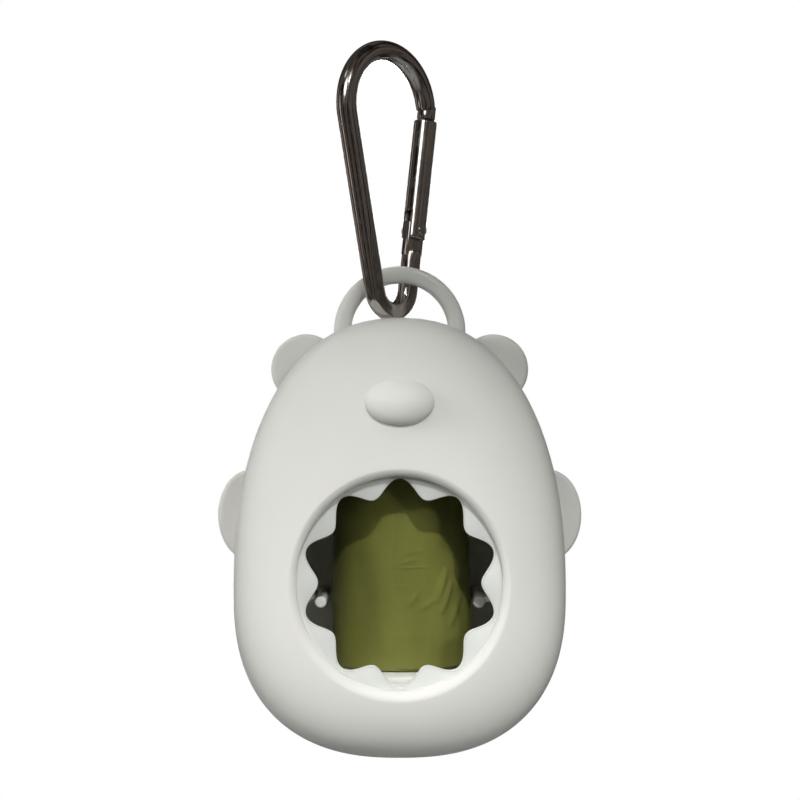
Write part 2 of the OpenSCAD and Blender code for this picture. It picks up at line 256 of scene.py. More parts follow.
class Solid:
    """Gathers closed grids of points into one mesh."""

    def __init__(self):
        self.vertices = []
        self.faces = []

    def grid(self, points, wrap_rows=False, caps=True):
        """Adds a grid that closes round its columns, with a flat cap on its first and last rows."""
        rows, columns, _ = points.shape
        start = len(self.vertices)
        self.vertices.extend(points.reshape(-1, 3))
        self.faces.extend(grid_faces(rows, columns, wrap_rows, True, start))
        if caps and not wrap_rows:
            self.faces.append(tuple(start + j for j in reversed(range(columns))))
            self.faces.append(tuple(start + (rows - 1) * columns + j for j in range(columns)))
        return self

    def build(self, name):
        return new_object(name, self.vertices, self.faces)


def apply_modifiers(piece):
    """Keeps what the piece's modifiers make of its mesh."""
    evaluated = piece.evaluated_get(bpy.context.evaluated_depsgraph_get())
    mesh = bpy.data.meshes.new_from_object(evaluated)
    piece.modifiers.clear()
    piece.data = mesh
    return piece


def cut(piece, tools):
    """Cuts the tools out of the piece, and removes them."""
    for tool in tools:
        modifier = piece.modifiers.new("Cut", "BOOLEAN")
        modifier.operation = "DIFFERENCE"
        modifier.solver = "EXACT"
        modifier.object = tool
    apply_modifiers(piece)
    for tool in tools:
        bpy.data.objects.remove(tool)
    return piece


def soften(piece, width, segments=2, angle=35):
    """Rounds the piece's sharp edges."""
    modifier = piece.modifiers.new("Edges", "BEVEL")
    modifier.width = width
    modifier.segments = segments
    modifier.limit_method = "ANGLE"
    modifier.angle_limit = math.radians(angle)
    return apply_modifiers(piece)


def shade(piece, angle=35):
    """Smooth shading that stays crisp at edges sharper than the angle in degrees."""
    piece.data.shade_smooth()
    piece.data.set_sharp_from_angle(angle=math.radians(angle))
    return piece


def dress(piece, material, body, slot, *nodes):
    """Gives a piece its material, the body it rides on and the nodes it stands for."""
    piece.data.materials.clear()
    piece.data.materials.append(material)
    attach(piece, body)
    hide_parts(*nodes)
    return piece


def moved(points, matrix):
    """Points of any grid shape put through a matrix."""
    flat = points.reshape(-1, 3)
    turned = flat @ np.array(matrix.to_3x3()).T + np.array(matrix.translation)
    return turned.reshape(points.shape)


def box(low, high, matrix, name="tool"):
    """Box between two corners, put through a matrix."""
    x, y, z = zip(low, high)
    ring = [(x[0], y[0]), (x[1], y[0]), (x[1], y[1]), (x[0], y[1])]
    points = np.array([[(px, py, pz) for px, py in ring] for pz in z])
    return Solid().grid(moved(points, matrix)).build(name)


def rod(radius, low, high, matrix, sides=48, edge=0.0, rings=0):
    """Points of a round bar along z with rounded ends and rings between them, put through a matrix."""
    bends = np.linspace(0, np.pi / 2, 5) if edge else [np.pi / 2]
    profile = [(radius - edge + edge * math.sin(b), low + edge * (1 - math.cos(b))) for b in bends]
    mirrored = [(r, high - (z - low)) for r, z in reversed(profile)]
    between = np.linspace(low + edge, high - edge, rings + 2)[1:-1]
    profile += [(radius, z) for z in between] + mirrored
    rows = [[(r * math.cos(t), r * math.sin(t), z) for t in around(sides)] for r, z in profile]
    return moved(np.array(rows), matrix)


def around(columns):
    """Angles of a full turn, without the last one."""
    return np.linspace(0, 2 * np.pi, columns, endpoint=False)


# Shape of the case

# Rounded edge of both shells at their parting line, and how far it has gone at its middle
RIM_EDGE = 0.25 * MM
RIM_MIDWAY = 0.07 * MM
RIM_GAP = 0.15 * MM


def signed_power(value, exponent):
    return np.sign(value) * np.abs(value) ** exponent


def dome_height(s, square):
    """Height of a dome over its rim, from 0 at s = 1 to 1 at s = 0."""
    return (1 - np.clip(s, 0, 1) ** square) ** (1 / square)


def level(x, z, inset, s, drop):
    """Below 1 inside the outline that is inset and shrunk by s towards a point below the middle."""
    c = case()
    lifted = z + drop * (1 - s)
    above = lifted >= 0
    high = np.where(above, c.height_up, c.height_down) - inset
    square = np.where(above, c.square_up, c.square_down)
    wide = (c.half_width - inset) * s
    return (np.abs(x) / wide) ** square + (np.abs(lifted) / (high * s)) ** square


def bisect(below, low, high, steps=44):
    """Where each entry of a rising test turns false, between low and high."""
    for _ in range(steps):
        middle = (low + high) / 2
        inside = below(middle)
        low = np.where(inside, middle, low)
        high = np.where(inside, high, middle)
    return (low + high) / 2


def reach(angle, centre_z, inset, s, drop=0.0):
    """Distance from a point on the middle line to a ring of the case, along each angle."""
    x, z = np.cos(angle), np.sin(angle)
    return bisect(lambda r: level(r * x, centre_z + r * z, inset, s, drop) < 1,
                  np.zeros_like(angle), np.full_like(angle, 0.12))


def shrink_at(x, z, inset, drop):
    """The shrink s of the ring that goes through each point."""
    return bisect(lambda s: level(x, z, inset, s, drop) > 1, np.full_like(x, 0.02), np.full_like(x, 1.0))


def front_y(x, z):
    """Depth of the front surface at each point."""
    c = case()
    s = shrink_at(x, z, 0.0, c.belly_drop)
    return -c.brow - (c.front_depth - c.brow) * dome_height(s, c.front_square)


def case_points(x, y, z):
    """Points given from the middle of the case, in the frame of the part."""
    c = case()
    x, y, z = np.broadcast_arrays(x, y, z)
    return np.stack([x + c.middle_x, y + c.middle_y, z + c.middle_z], axis=-1)


def case_matrix(x=0.0, y=0.0, z=0.0):
    c = case()
    return Matrix.Translation((c.middle_x + x, c.middle_y + y, c.middle_z + z))


def shell_row(angle, centre_z, inset, s, y, drop=0.0):
    """One row of a shell: a ring of the outline at one depth."""
    r = reach(angle, centre_z, inset, s, drop)
    return case_points(r * np.cos(angle), y, centre_z + r * np.sin(angle))


def round_row(angle, centre_z, r, y):
    """One row of a shell: a circle about the window's axis."""
    return case_points(r * np.cos(angle), y, centre_z + r * np.sin(angle))


def rim_rows(angle, centre_z, steps):
    """Rows of the whole outline, one at each (inset, depth)."""
    return [shell_row(angle, centre_z, inset, 1, y) for inset, y in steps]


def dome_rows(angle, centre_z, inset, rim, front, square, drop, start, steps):
    """Rows of a dome from the shrink start[angle] out to its rim."""
    rows = []
    begin = np.arcsin(np.clip(start, 0, 1) ** (square / 2))
    for k in range(steps + 1):
        lean = begin + (np.pi / 2 - begin) * k / steps
        s = np.sin(lean) ** (2 / square)
        height = np.cos(lean) ** (2 / square)
        rows.append(shell_row(angle, centre_z, inset, s, rim + (front - rim) * height, drop))
    return rows


def front_rows():
    """Rows of the front shell, from the window over the front to the rim and back inside to the window."""
    c, o = case(), outlet()
    angle = around(360)
    z0 = c.window_z
    ca, sa = np.cos(angle), np.sin(angle)
    edge_r = c.window_r / np.sqrt(ca ** 2 + (sa / c.window_tall) ** 2)
    deep = o.front_y - front_y(edge_r * ca, z0 + edge_r * sa)
    rows = [round_row(angle, z0, edge_r, o.front_y)]

    # Rounded edge of the window, smaller above, and a little fuller than a quarter circle
    below, less_above, fullness, steps = 0.72, 0.12, 1.2, 18
    fillet = (below - less_above * np.clip(sa, 0, 1)) * deep
    for k in range(steps + 1):
        b = np.pi / 2 * k / steps
        r = edge_r + fillet * (1 - math.cos(b) ** fullness)
        y = front_y(r * ca, z0 + r * sa) + fillet * (1 - math.sin(b) ** fullness)
        rows.append(round_row(angle, z0, r, y))
    r = edge_r + fillet
    start = shrink_at(r * ca, z0 + r * sa, 0.0, c.belly_drop)
    rows += dome_rows(angle, z0, 0.0, -c.brow, -c.front_depth, c.front_square, c.belly_drop, start, 64)[1:]

    # Rounded brow, the slope to the parting line and the rim
    edge, brow_gap, ease = 0.45 * MM, 0.3 * MM, 0.1 * MM
    for k in range(1, 6):
        b = np.pi / 2 * k / 5
        y = -c.brow + brow_gap + edge * math.sin(b)
        rows.append(shell_row(angle, z0, edge * (1 - math.cos(b)), 1, y))
    half = c.flange / 2
    slope_end = -c.brow + 2 * c.step_in
    inner = c.step_in + c.wall
    rows += rim_rows(angle, z0, (
        (c.step_in - ease, slope_end - 4 * ease),
        (c.step_in, slope_end - 2 * ease),
        (c.step_in, half - RIM_EDGE),
        (c.step_in + RIM_MIDWAY, half - RIM_MIDWAY),
        (c.step_in + RIM_EDGE, half),
        (inner, half),
        (inner, -half - brow_gap)))

    # Inside of the dome and the seat of the outlet disc
    s_in = shrink_at(o.seat_r * ca, z0 + o.seat_r * sa, c.wall, c.belly_drop)
    inside = dome_rows(angle, z0, c.wall, -c.brow - 2 * ease, -c.front_depth + c.wall, c.front_square,
                       c.belly_drop, s_in, 40)
    rows += inside[::-1]
    bevel = 0.2 * MM
    for r, y in ((o.seat_r, o.seat_y), (o.radius + bevel, o.seat_y), (o.radius, o.seat_y - bevel),
                 (o.radius, o.front_y)):
        rows.append(round_row(angle, z0, r, y))
    return np.array(rows)


def rear_rows():
    """Rows of the rear shell, from the middle of the back over the rim and the lip to the inside."""
    c = case()
    angle = around(320)
    half = c.flange / 2
    z0 = 5 * MM
    rim_y, inner_rim_y = 4 * MM, 5 * MM
    inner = c.step_in + c.wall
    tip = np.full_like(angle, 0.62)
    flat = (0.15, 0.45, 0.6)
    rows = [shell_row(angle, z0, c.step_in, s, c.rear_depth) for s in flat]
    rows += dome_rows(angle, z0, c.step_in, rim_y, c.rear_depth, c.rear_square, 0.0, tip, 40)
    lip, lip_thick, lip_long, ease = inner + 0.2 * MM, 1.2 * MM, 2.4 * MM, 0.2 * MM
    lip_y = half - lip_long
    seam = half + RIM_GAP
    rows += rim_rows(angle, z0, (
        (c.step_in, seam + RIM_EDGE),
        (c.step_in + RIM_MIDWAY, seam + RIM_MIDWAY),
        (c.step_in + RIM_EDGE, seam),
        (lip, seam),
        (lip, lip_y + ease),
        (lip + ease, lip_y),
        (lip + lip_thick - ease, lip_y),
        (lip + lip_thick, lip_y + ease),
        (lip + lip_thick, half + 2.2 * MM)))
    rows += dome_rows(angle, z0, inner, inner_rim_y, c.rear_depth - c.wall, c.rear_square, 0.0, tip, 30)[::-1]
    rows += [shell_row(angle, z0, inner, s, c.rear_depth - c.wall) for s in reversed(flat)]
    return np.array(rows)


def plate(outline, half, edge, steps=6):
    """Upright plate with rounded edges, from a closed outline of (x, z) points that runs counterclockwise."""
    points = np.array(outline)
    along = np.roll(points, -1, axis=0) - np.roll(points, 1, axis=0)
    along /= np.linalg.norm(along, axis=1)[:, None]
    outward = np.stack([along[:, 1], -along[:, 0]], axis=1)

    def row(inset, y):
        p = points - outward * inset
        return case_points(p[:, 0], y, p[:, 1])

    rows = [row(edge + 0.4 * MM, -half)]
    for k in range(steps + 1):
        b = np.pi / 2 * k / steps
        rows.append(row(edge * (1 - math.sin(b)), -half + edge * (1 - math.cos(b))))
    for k in range(steps, -1, -1):
        b = np.pi / 2 * k / steps
        rows.append(row(edge * (1 - math.sin(b)), half - edge * (1 - math.cos(b))))
    rows.append(row(edge + 0.4 * MM, half))
    return np.array(rows)


def ellipse(x, z, w, h, count=96):
    return [(x + w * math.cos(a), z + h * math.sin(a)) for a in around(count)]


def loop_points():
    """Half ring over the crown, with a section that is flat in front and round at its edges."""
    c = case()
    angle = np.linspace(math.radians(-12), math.radians(192), 120)
    section = around(40)
    middle, wide, half = (c.loop_out + c.loop_in) / 2, (c.loop_out - c.loop_in) / 2, c.flange / 2
    u = wide * signed_power(np.cos(section), 2 / 2.5)
    v = half * signed_power(np.sin(section), 2 / 2.5)
    r = middle + u[None, :]
    return case_points(r * np.cos(angle)[:, None], v[None, :], c.loop_z + r * np.sin(angle)[:, None])


def nose_points():
    """Pad on the forehead: round below, and running out softly into the front above."""
    c = case()
    angle = around(120)
    ca, sa = np.cos(angle), np.sin(angle)
    softness = 0.5 + 0.2 * np.clip(sa, 0, 1) ** 1.5
    fullness, steps, sunk = 2.1, 26, 0.8 * MM
    rows = []
    for k in range(1, steps + 1):
        rho = math.sin(np.pi / 2 * k / steps)
        x, z = c.nose_w * rho * ca, c.nose_z + c.nose_h * rho * sa
        height = c.nose_proud * (1 - min(rho, 0.9999) ** fullness) ** softness
        rows.append(case_points(x, front_y(x, z) - height, z))
    x, z = c.nose_w * ca, c.nose_z + c.nose_h * sa
    rows.append(case_points(x, front_y(x, z) + sunk, z))
    return np.array(rows)


def half_width_at(inset, s, z, drop=0.0):
    """Half width of a ring of the case at one level."""
    return float(bisect(lambda x: level(x, np.array([z]), inset, s, drop) < 1, np.array([0.0]),
                        np.array([0.1]))[0])


def rim_shrink(y, rim, front, square):
    """Shrink of a dome at one depth."""
    part = min(max((y - rim) / (front - rim), 0.0), 1.0)
    return (1 - part ** square) ** (1 / square)


def slab(outline, low, high):
    """Points of a flat piece between two levels, from its outline of (across, depth) points."""
    rows = np.array([[(x, y, z) for x, y in outline] for z in (low, high)])
    return case_points(rows[..., 0], rows[..., 1], rows[..., 2])


def ledge(z, depths, widths):
    """Level shelf between the side walls."""
    right = list(zip(widths, depths))
    return slab(right + [(-w, y) for w, y in reversed(right)], z, z + roll().ledge)


def ledge_levels():
    """Undersides of the lower and the upper shelves."""
    r = roll()
    return r.low - r.play - r.ledge, r.low + r.tall + r.play


def far_side(z):
    """The face of a shelf that is farther from the middle of the case."""
    return z if z < 0 else z + roll().ledge


def front_ledges():
    """The two shelves of the front shell, narrow at the rim to clear the lip of the rear shell."""
    c, o = case(), outlet()
    solid = Solid()
    rim = c.flange / 2
    room = c.step_in + c.wall + 1.7 * MM
    skin = c.wall / 2
    low, high = ledge_levels()
    for z, deep in ((low, [-6 * MM, -12 * MM, o.front_y + 1.8 * MM]), (high, [-6 * MM, -11 * MM])):
        narrow = half_width_at(room, 1.0, far_side(z))
        wide = [half_width_at(skin, rim_shrink(y, -c.brow, -c.front_depth + skin, c.front_square),
                              far_side(z), c.belly_drop) for y in deep]
        solid.grid(ledge(z, [rim - 0.1 * MM, rim - 2.7 * MM] + deep, [narrow, narrow] + wide))

    # Small lip under the lower shelf, which closes the lowest tip of the star
    front = o.front_y + o.thick + 0.5 * MM
    back = front + 2.5 * MM
    lip = [(-6 * MM, front), (6 * MM, front), (5 * MM, back), (-5 * MM, back)]
    return solid.grid(slab(lip, low - 1.3 * MM, low + 0.3 * MM))


def rear_ledges():
    """The two shelves and the two guide posts on ribs of the rear shell."""
    c, r = case(), roll()
    solid = Solid()
    skin = c.wall / 2
    back = c.rear_depth - skin
    start = c.flange / 2 + 2.5 * MM
    low, high = ledge_levels()
    for z, depths in ((low, [start, 10 * MM, 17 * MM, back]), (high, [start, 10 * MM, 15.5 * MM])):
        wide = [half_width_at(c.step_in + skin, rim_shrink(y, 4 * MM, back, c.rear_square), far_side(z))
                for y in depths]
        solid.grid(ledge(z, depths, wide))
    post_front, rib_half, rib_deep = -2 * MM, 0.6 * MM, 15 * MM
    for side in (-1, 1):
        upright = case_matrix(side * r.post_x, 0, r.post_z) @ Matrix.Rotation(-math.pi / 2, 4, "X")
        solid.grid(rod(r.post_r, post_front, back, upright, 40, 0.5 * MM))
        near, far = sorted((side * r.post_x, side * (c.half_width - 3 * MM)))
        rib = [(near, start), (far, start), (far, start + rib_deep), (near, start + rib_deep)]
        solid.grid(slab(rib, r.post_z - rib_half, r.post_z + rib_half))
    return solid


def disc_rows():
    """Rows of the outlet disc, round its star with a softly rounded edge."""
    c, o = case(), outlet()
    angle = around(600)
    middle, wave = (o.star_tip + o.star_valley) / 2, (o.star_tip - o.star_valley) / 2
    tall = np.sqrt(np.cos(angle) ** 2 + (o.star_tall * np.sin(angle)) ** 2)
    star = (middle + wave * np.cos(o.lobes * (angle - np.pi / 2))) * tall
    turned = np.arctan2(o.star_tall * np.sin(angle), np.cos(angle))
    edge, flat, gap = 0.28 * MM, 0.35 * MM, 0.02 * MM
    front, back = o.front_y, o.front_y + o.thick
    outside = np.full_like(star, o.radius - gap)
    rows = [(star + edge + flat, front)]
    for k in range(5, -1, -1):
        b = np.pi / 2 * k / 5
        rows.append((star + edge * (1 - math.sin(b)), front + edge * (1 - math.cos(b))))
    rows += [(star, back - edge), (star + edge, back), (outside, back), (outside, front)]
    return np.array([round_row(turned, c.window_z, r, y) for r, y in rows])


# Shape of the roll

# Creases of the loose bag over the front of the roll, in millimetres, as seen in the photo:
# both ends (across, level), height, half width
CREASES = (
    ((-2.8, 5.5), (5.9, 5.7), 0.22, 0.20),
    ((-0.4, 6.3), (3.1, 7.4), 0.24, 0.50),
    ((1.8, 8.7), (4.4, 9.4), 0.14, 0.50),
    ((-1.2, 1.4), (1.8, 1.6), 0.14, 0.45),
    ((2.0, -2.5), (3.9, 0.3), 0.30, 0.55),
    ((4.6, -3.5), (7.2, -1.4), 0.22, 0.60),
    ((9.6, 4.4), (8.0, -1.4), 0.60, 0.75),
    ((10.6, 1.8), (8.9, -4.0), 0.60, 0.65),
    ((12.2, -1.2), (10.8, -6.8), 0.50, 0.70),
    ((-3.8, -9.3), (6.5, -9.1), 0.10, 0.70),
)
# Where the loose bag lies round the roll, in degrees from +X towards the back
BAG_FROM, BAG_TO = -100, 70


def roll_points(angle, r, z):
    """Points of the roll at each angle round its axis, from +X towards the back."""
    depth = roll().depth
    return case_points(r * np.cos(angle), depth + r * np.sin(angle), z)


def crease_height(x, z):
    """How far the creases lift the loose bag at each point of its front."""
    lifted = np.zeros(np.broadcast(x, z).shape)
    for (x0, z0), (x1, z1), high, wide in CREASES:
        ax, az = (x1 - x0) * MM, (z1 - z0) * MM
        part = ((x - x0 * MM) * ax + (z - z0 * MM) * az) / (ax * ax + az * az)
        held = np.clip(part, 0, 1)
        away = np.hypot(x - x0 * MM - held * ax, z - z0 * MM - held * az)
        fade = np.sin(np.pi * np.clip(0.15 + 0.7 * held, 0, 1))
        lifted += high * MM * fade * np.exp(-(away / (wide * MM)) ** 2)
    return lifted


def ripple(angle, z, seed, waves=14):
    """Slack of wound film: a sum of long waves that stays between about -1 and 1."""
    random = np.random.default_rng(seed)
    total = 0
    for _ in range(waves):
        turns, rise = random.integers(1, 9), random.uniform(-500, 500)
        total = total + np.sin(turns * angle + rise * z + random.uniform(0, 2 * np.pi))
    return total / math.sqrt(waves) / 1.6


def roll_rows():
    """Rows of the wound roll: up the outside, in over its layers, down the hole and out again."""
    r = roll()
    angle = around(240)
    low, high = r.low, r.low + r.tall
    edge = 0.25 * MM
    slack = 0.09 * MM
    rows = [roll_points(angle, r.radius + slack * (ripple(angle, z, 3) - 1), z)
            for z in np.linspace(low + edge, high - edge, 130)]

    # Each layer ends a little lower or higher than the next
    layers, filled = 26, 0.6
    wound = r.radius - r.core - 0.3 * MM
    random = np.random.default_rng(11)
    ends = []
    for k in range(layers):
        outer = r.radius - edge - wound * k / layers
        inner = outer - filled * wound / layers
        stand = random.uniform(0.02, 0.22) * MM
        ends += [(outer, stand), (inner, stand)]
    rows += [roll_points(angle, s, high - e) for s, e in ends]
    rows += [roll_points(angle, r.core + 0.02 * MM, z) for z in (high - 0.2 * MM, low + 0.2 * MM)]
    rows += [roll_points(angle, s, low + e) for s, e in reversed(ends)]
    return np.array(rows)


def bag_sheet():
    """Loose end of the outermost bag: a closed thin sheet with creases, slack over the right of the roll."""
    r = roll()
    inset, thick, tucked, proud, soft_edge = 0.6 * MM, 0.1 * MM, 0.14 * MM, 0.46 * MM, 0.35
    angle = np.radians(np.linspace(BAG_FROM, BAG_TO, 260))[None, :]
    z = np.linspace(r.low + inset, r.low + r.tall - inset, 300)[:, None]
    x = r.radius * np.cos(angle)
    front = np.clip(-np.sin(angle) * 3, 0, 1)
    slack = np.exp(-((angle + 0.25) / 0.5) ** 2) * np.exp(-((z + 5 * MM) / (9 * MM)) ** 2)
    lift = crease_height(x, z) * front + 0.55 * MM * slack + 0.05 * MM * (1 + ripple(angle, z, 8))
    near = np.clip(np.minimum(angle - angle[0, 0], angle[0, -1] - angle) / soft_edge, 0, 1)
    edge = near * near * (3 - 2 * near)
    stand = -tucked + proud * edge + lift * edge
    outer = roll_points(angle, r.radius + stand, z)
    inner = roll_points(angle, r.radius + stand - thick, z)
    rows, columns = outer.shape[:2]
    count = rows * columns
    faces = grid_faces(rows, columns, wrap_columns=False)
    faces += grid_faces(rows, columns, wrap_columns=False, start=count)
    rim = list(range(columns)) + [i * columns + columns - 1 for i in range(1, rows)]
    rim += [(rows - 1) * columns + j for j in range(columns - 2, -1, -1)]
    rim += [i * columns for i in range(rows - 2, 0, -1)]
    for a, b in zip(rim, rim[1:] + rim[:1]):
        faces.append((a, b, b + count, a + count))
    return new_object("bag_loose_end", np.concatenate([outer.reshape(-1, 3), inner.reshape(-1, 3)]), faces)


# Shape of the clip

def clip_matrix():
    """From the plane of the clip, x across and z up, to the frame of the part."""
    k = clip()
    eye = -(k.bend_top - k.wire)
    return (Matrix.Rotation(k.turn, 4, "Z") @ Matrix.Translation((0, 0, eye))
            @ Matrix.Rotation(-k.lean, 4, "Y"))


def clip_taper():
    k = clip()
    return math.asin((k.bend_top - k.bend_low) / k.bend_gap)


def leg_matrix():
    """From the leg under the gate, z up along it and x outwards, to the frame of the part."""
    k = clip()
    t = clip_taper()
    start = Matrix.Translation((k.bend_top * math.cos(t), 0, -k.bend_top * math.sin(t)))
    return clip_matrix() @ start @ Matrix.Rotation(t, 4, "Y")


def wire_path():
    """Centre line of the wire in the clip's plane, with how far it has gone into the stamped part."""
    k = clip()
    t = clip_taper()
    points = []
    for a in np.linspace(math.radians(2.5), math.pi + t, 110):
        points.append((k.bend_top * math.cos(a), k.bend_top * math.sin(a), 0.0))
    left = (-k.bend_top * math.cos(t), -k.bend_top * math.sin(t))
    low = (-k.bend_low * math.cos(t), -k.bend_gap - k.bend_low * math.sin(t))
    flat_from, flat_full = 0.42, 0.9
    for q in np.linspace(0, 1, 70)[1:]:
        stamped = min(max((q - flat_from) / (flat_full - flat_from), 0), 1)
        points.append((left[0] + (low[0] - left[0]) * q, left[1] + (low[1] - left[1]) * q, stamped))
    for a in np.linspace(math.pi + t, 2 * math.pi - t, 60)[1:]:
        points.append((k.bend_low * math.cos(a), -k.bend_gap + k.bend_low * math.sin(a), 1.0))
    wire_end = 29.2 * MM
    rise = k.bend_gap * math.cos(t) - wire_end
    for q in np.linspace(0, 1, 24)[1:]:
        points.append((-low[0] + rise * q * math.sin(t), low[1] + rise * q * math.cos(t), 1.0 - 0.75 * q))
    return np.array(points)


def smooth_least(a, b, power=22):
    """The smaller of two positive values, rounded where they meet."""
    return (a ** -power + b ** -power) ** (-1 / power)


def wire_points():
    """Wire swept along its path: round, and stamped flat on both faces at the lower bend."""
    k = clip()
    path = wire_path()
    along = np.gradient(path[:, :2], axis=0)
    along /= np.linalg.norm(along, axis=1)[:, None]
    side = np.stack([along[:, 1], -along[:, 0]], axis=1)
    section = around(72)
    round_half, stamped_half = 1.22, 0.76
    end_taper, end_fade = 0.10, 0.9
    rows = []
    for i, (x, z, stamped) in enumerate(path):
        eased = stamped * stamped * (3 - 2 * stamped)
        half = k.wire * (round_half - (round_half - stamped_half) * eased)
        gone = min(i, len(path) - 1 - i)
        end = 1 - end_taper * math.exp(-gone * end_fade)
        across = k.wire * np.cos(section) * end
        through = np.sign(np.sin(section)) * smooth_least(np.abs(k.wire * np.sin(section)) + 1e-7, half) * end
        rows.append(np.stack([x + side[i, 0] * across, through, z + side[i, 1] * across], axis=1))
    return moved(np.array(rows), clip_matrix())


def gate_solid():
    """Round gate with a slot for the tongue above and one for the tab below, and a bore for its spring."""
    k = clip()
    leg = leg_matrix()
    r = k.gate_r
    gate = Solid().grid(rod(r, -k.gate_low, k.gate_top, leg, 96, 0.35 * MM, 90)).build("clip_gate_tube")
    slot, under, out = 1.2 * MM, -k.gate_low - MM, 2 * r
    slot_top, slot_top_inside, pocket, pocket_back = -21.8 * MM, -20.4 * MM, 5.6 * MM, 1.2 * MM
    pin_half, pin_room = 1.85 * MM, 1.25 * MM
    bore_r, bore_top = 1.3 * MM, -9.5 * MM
    tools = [
        box((-out, -slot, under), (out, slot, slot_top), leg),
        box((-out, -slot, under), (0, slot, slot_top_inside), leg),
        box((-pocket_back, -slot, -pocket), (out, slot, pocket), leg),
        box((-0.75 * MM, -pin_half, k.pin_z - pin_room), (out, pin_half, k.pin_z + pin_room), leg),
        Solid().grid(rod(bore_r, -k.gate_low, bore_top, leg, 32)).build("tool"),
    ]
    return cut(gate, tools)


# Materials

def node(tree, kind, **values):
    """A new node with some inputs or settings set."""
    made = tree.nodes.new(kind)
    for key, value in values.items():
        if key in made.inputs.keys():
            made.inputs[key].default_value = value
        else:
            setattr(made, key, value)
    return made


def new_material(name):
    material = bpy.data.materials.new(name)
    material.use_nodes = True
    tree = material.node_tree
    shader = next(n for n in tree.nodes if n.type == "BSDF_PRINCIPLED")
    return material, tree, shader


def noise(tree, scale, detail, stretch=None):
    """Noise in the part's own coordinates, stretched along an axis if asked."""
    made = node(tree, "ShaderNodeTexNoise", Scale=scale, Detail=detail)
    source = node(tree, "ShaderNodeTexCoord").outputs["Object"]
    if stretch:
        mapping = node(tree, "ShaderNodeMapping", Scale=stretch)
        tree.links.new(source, mapping.inputs["Vector"])
        source = mapping.outputs["Vector"]
    tree.links.new(source, made.inputs["Vector"])
    return made


def ramp(tree, source, low, high, start=0.35, end=0.65):
    """Runs from one colour to another as the source goes from start to end."""
    made = node(tree, "ShaderNodeValToRGB")
    made.color_ramp.elements[0].position = start
    made.color_ramp.elements[1].position = end
    made.color_ramp.elements[0].color = (*low, 1)
    made.color_ramp.elements[1].color = (*high, 1)
    tree.links.new(source.outputs["Fac"], made.inputs["Fac"])
    return made


def spread(tree, source, low, high, start=0.3, end=0.7):
    """A number that runs from low to high as the source goes from start to end."""
    made = node(tree, "ShaderNodeMapRange")
    for key, value in (("From Min", start), ("From Max", end), ("To Min", low), ("To Max", high)):
        made.inputs[key].default_value = value
    tree.links.new(source.outputs["Fac"], made.inputs["Value"])
    return made


def bump(tree, shader, layers):
    """Adds bumps to a shader, from (source, strength, distance) of each layer."""
    normal = None
    for source, strength, distance in layers:
        made = node(tree, "ShaderNodeBump", Strength=strength, Distance=distance)
        tree.links.new(source.outputs["Fac"], made.inputs["Height"])
        if normal:
            tree.links.new(normal, made.inputs["Normal"])
        normal = made.outputs["Normal"]
    tree.links.new(normal, shader.inputs["Normal"])


def scaled(colour, factor):
    return tuple(min(1.0, v * factor) for v in colour)


def plastic(name, colour, roughness=0.42):
    """Satin moulded plastic, with the faint clouding and fine grain of a mould."""
    material, tree, shader = new_material(name)
    clouds = noise(tree, 38.0, 3.0)
    tone = ramp(tree, clouds, scaled(colour, 0.985), scaled(colour, 1.015), 0.3, 0.7)
    tree.links.new(tone.outputs["Color"], shader.inputs["Base Color"])
    gloss = spread(tree, noise(tree, 90.0, 4.0), roughness - 0.03, roughness + 0.04)
    tree.links.new(gloss.outputs["Result"], shader.inputs["Roughness"])
    bump(tree, shader, [(noise(tree, 2600.0, 2.0), 0.10, 0.00002), (noise(tree, 140.0, 2.0), 0.06, 0.0002)])
    return material


def plated(name, colour, worn, roughness=0.15):
    """Bright plated steel with faint waves, small scratches and duller patches."""
    material, tree, shader = new_material(name)
    shader.inputs["Metallic"].default_value = 1.0
    tone = ramp(tree, noise(tree, 260.0, 5.0), colour, worn, 0.35, 0.75)
    tree.links.new(tone.outputs["Color"], shader.inputs["Base Color"])
    gloss = spread(tree, noise(tree, 420.0, 5.0), roughness - 0.05, roughness + 0.14, 0.4, 0.75)
    tree.links.new(gloss.outputs["Result"], shader.inputs["Roughness"])
    bump(tree, shader, [(noise(tree, 900.0, 3.0), 0.03, 0.00006), (noise(tree, 190.0, 2.0), 0.06, 0.0002)])
    return material


def film(name, colour, deep):
    """Thin satin film in many layers, with fine creases."""
    material, tree, shader = new_material(name)
    tone = ramp(tree, noise(tree, 120.0, 5.0, (1.0, 1.0, 0.35)), deep, colour, 0.12, 0.62)
    tree.links.new(tone.outputs["Color"], shader.inputs["Base Color"])
    gloss = spread(tree, noise(tree, 300.0, 4.0), 0.45, 0.62)
    tree.links.new(gloss.outputs["Result"], shader.inputs["Roughness"])
    shader.inputs["Specular IOR Level"].default_value = 0.3
    bump(tree, shader, [(noise(tree, 260.0, 5.0, (1.0, 1.0, 0.6)), 0.30, 0.0003),
                        (noise(tree, 1500.0, 3.0), 0.15, 0.00005)])
    return material


def paper_board(name, colour):
    """Brown board with short fibres."""
    material, tree, shader = new_material(name)
    tone = ramp(tree, noise(tree, 700.0, 6.0, (1.0, 1.0, 0.3)), scaled(colour, 0.8), scaled(colour, 1.2))
    tree.links.new(tone.outputs["Color"], shader.inputs["Base Color"])
    shader.inputs["Roughness"].default_value = 0.85
    bump(tree, shader, [(noise(tree, 1400.0, 4.0), 0.3, 0.0001)])
    return material


def material_of(slot, make, *values):
    """The visual material of a slot, made the first time. The bare slot names are the CAD's own materials."""
    name = "look_" + slot
    return bpy.data.materials.get(name) or make(name, *values)


def case_plastic():
    return material_of("case_plastic", plastic, tuple(finishes().case))


def disc_plastic():
    return material_of("disc_plastic", plastic, tuple(finishes().disc), 0.38)


